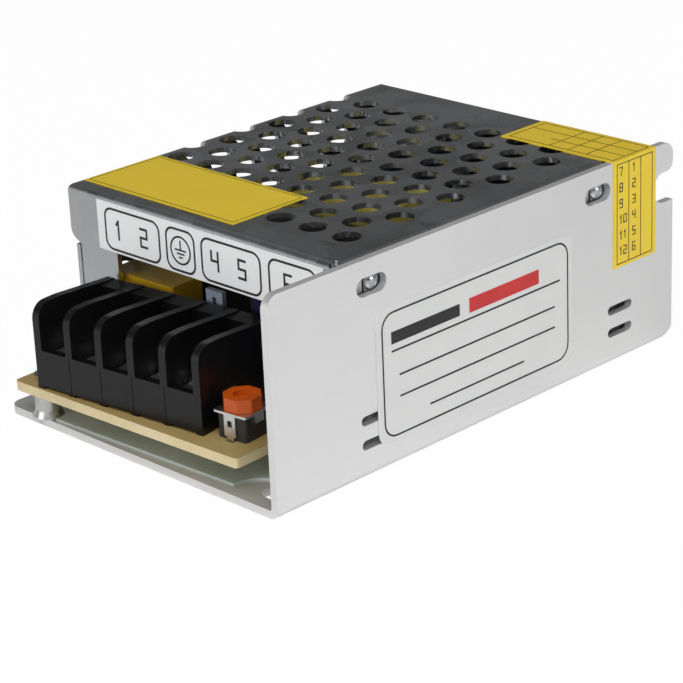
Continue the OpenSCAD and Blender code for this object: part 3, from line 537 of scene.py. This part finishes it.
def seal_print():
    """A thin border and grid with plain numbers."""
    inset, line = 0.8, 0.14
    (_, y0), (_, y1) = label_box("seal_label")
    y0 += inset
    y1 -= inset
    third = (y1 - y0) / 3
    bm = bmesh.new()
    # on the top: border and rules both ways
    x0, x1, first_rule_x = 37.0, CASE_W - 0.6, 43.0
    framed(bm, x0, y0, x1, y1, line, TOP_M)
    for k, start in ((1, first_rule_x), (2, x0)):
        y = y0 + third * k
        printed(bm, bar(start, y - line / 2, x1, y + line / 2), TOP_M, 0.002)
    for x in (45.0, 48.6, 52.2):
        printed(bm, bar(x - line / 2, y0, x + line / 2, y1), TOP_M, 0.004)
    # down the wall: two columns of numbers
    z0, z1 = CASE_H - 16.2, CASE_H - 0.4
    framed(bm, y0, z0, y1, z1, line, WALL_M)
    for k in (1, 2):
        y = y0 + third * k
        printed(bm, bar(y - line / 2, z0, y + line / 2, z1), WALL_M, 0.002)
    figure_h, row_step, first_row = 1.25, 2.5, 1.9
    for k in range(6):
        z = z1 - first_row - row_step * k
        add_figure(bm, str(k + 7), y0 + 0.7, z, figure_h, WALL_M)
        add_figure(bm, str(k + 1), y0 + third + 0.9, z, figure_h, WALL_M)
    piece("seal_print", bm, ink)


def front_label_rule():
    """A thin dark rule inside the edge of the front label's plain field."""
    inset, line = 0.5, 0.12
    (x0, y0), (x1, y1) = label_box("front_label")
    bm = bmesh.new()
    framed(bm, x0 + inset, y0 + inset, x1 - inset, y1 - inset, line, TOP_M)
    piece("front_label_rule", bm, ink)


legend_print()
rating_print()
seal_print()
front_label_rule()


def solder_joints():
    """Solder cones under the board, at the contacts' tails and the bigger parts' legs."""
    tails = [BLOCK_M @ Vector((FIN_T / 2 + (i + 0.5) * POLE_PITCH, TAIL_Y, 0)) for i in range(POLES)]
    trimmer_leg = TRIMMER_M @ Vector((0, -2.75, 0))
    legs = [BOARD_M @ Vector((x, y, 0)) for x, y in ((41.5, 3.2), (8, 20), (12, 20), (23, 20))]
    spots = [(p, 1.25) for p in tails] + [(trimmer_leg, 0.9)] + [(p, 1.0) for p in legs]
    cone_h, tip_share, sunk = 1.0, 0.35, 0.01
    bm = bmesh.new()
    for p, r in spots:
        middle = p - Vector((0, 0, (BOARD_T - sunk + cone_h / 2) * MM))
        bmesh.ops.create_cone(
            bm,
            cap_ends=True,
            segments=20,
            radius1=tip_share * r * MM,
            radius2=r * MM,
            depth=cone_h * MM,
            matrix=Matrix.Translation(middle),
        )
    piece("solder_joints", bm, solder, smooth=40)


solder_joints()

# ---------- floor and light ----------

floor_mesh = bpy.data.meshes.new("floor")
FLOOR_HALF = 6
FLOOR_DROP = 0.00005
floor_corners = [(x * FLOOR_HALF, y * FLOOR_HALF, 0) for x, y in ((-1, -1), (1, -1), (1, 1), (-1, 1))]
floor_mesh.from_pydata(floor_corners, [], [(0, 1, 2, 3)])
floor = bpy.data.objects.new("floor", floor_mesh)
scene.collection.objects.link(floor)
floor_mat = bpy.data.materials.new("floor")
floor_mat.use_nodes = True
tree = floor_mat.node_tree
tree.nodes.clear()
out = tree.nodes.new("ShaderNodeOutputMaterial")
diffuse = tree.nodes.new("ShaderNodeBsdfDiffuse")
diffuse.inputs["Color"].default_value = (0.9, 0.9, 0.9, 1)
glow = tree.nodes.new("ShaderNodeEmission")
glow.inputs["Color"].default_value = (1, 1, 1, 1)
glow.inputs["Strength"].default_value = 1.0
path = tree.nodes.new("ShaderNodeLightPath")
share = tree.nodes.new("ShaderNodeMath")
share.operation = "MULTIPLY"
# most of the floor is plain white to the camera, and the rest keeps the shadow
share.inputs[1].default_value = 0.97
mixed = tree.nodes.new("ShaderNodeMixShader")
tree.links.new(path.outputs["Is Camera Ray"], share.inputs[0])
tree.links.new(share.outputs[0], mixed.inputs["Fac"])
tree.links.new(diffuse.outputs[0], mixed.inputs[1])
tree.links.new(glow.outputs[0], mixed.inputs[2])
tree.links.new(mixed.outputs[0], out.inputs["Surface"])
floor_mesh.materials.append(floor_mat)
floor.location.z = -FLOOR_DROP

world = bpy.data.worlds.new("world")
scene.world = world
world.use_nodes = True
tree = world.node_tree
back = tree.nodes["Background"]
coord = tree.nodes.new("ShaderNodeTexCoord")
split = tree.nodes.new("ShaderNodeSeparateXYZ")
ramp = tree.nodes.new("ShaderNodeValToRGB")
tree.links.new(coord.outputs["Generated"], split.inputs[0])
tree.links.new(split.outputs["Z"], ramp.inputs["Fac"])
# grey of the surroundings from the horizon up
stops = ((0.0, 0.85), (0.1, 0.6), (0.2, 0.09), (0.6, 0.1), (1.0, 0.35))
elements = ramp.color_ramp.elements
while len(elements) < len(stops):
    elements.new(0.5)
for element, (at, value) in zip(elements, stops):
    element.position = at
    element.color = (value, value, value, 1)
tree.links.new(ramp.outputs["Color"], back.inputs["Color"])
back.inputs["Strength"].default_value = 1.0


def lamp(name, at, size, power, aim=(0, 0, 0.015)):
    data = bpy.data.lights.new(name, "AREA")
    data.shape = "RECTANGLE"
    data.size, data.size_y = size
    data.energy = power
    obj = bpy.data.objects.new(name, data)
    scene.collection.objects.link(obj)
    obj.location = at
    obj.rotation_euler = (Vector(aim) - Vector(at)).to_track_quat("-Z", "Y").to_euler()
    return obj


lamp("key", (0.35, -0.35, 0.75), (0.5, 0.5), 4.2)
lamp("side", (0.8, 0.1, 0.4), (0.5, 0.4), 2.0)
lamp("front", (-0.15, -0.8, 0.25), (0.5, 0.3), 1.6)
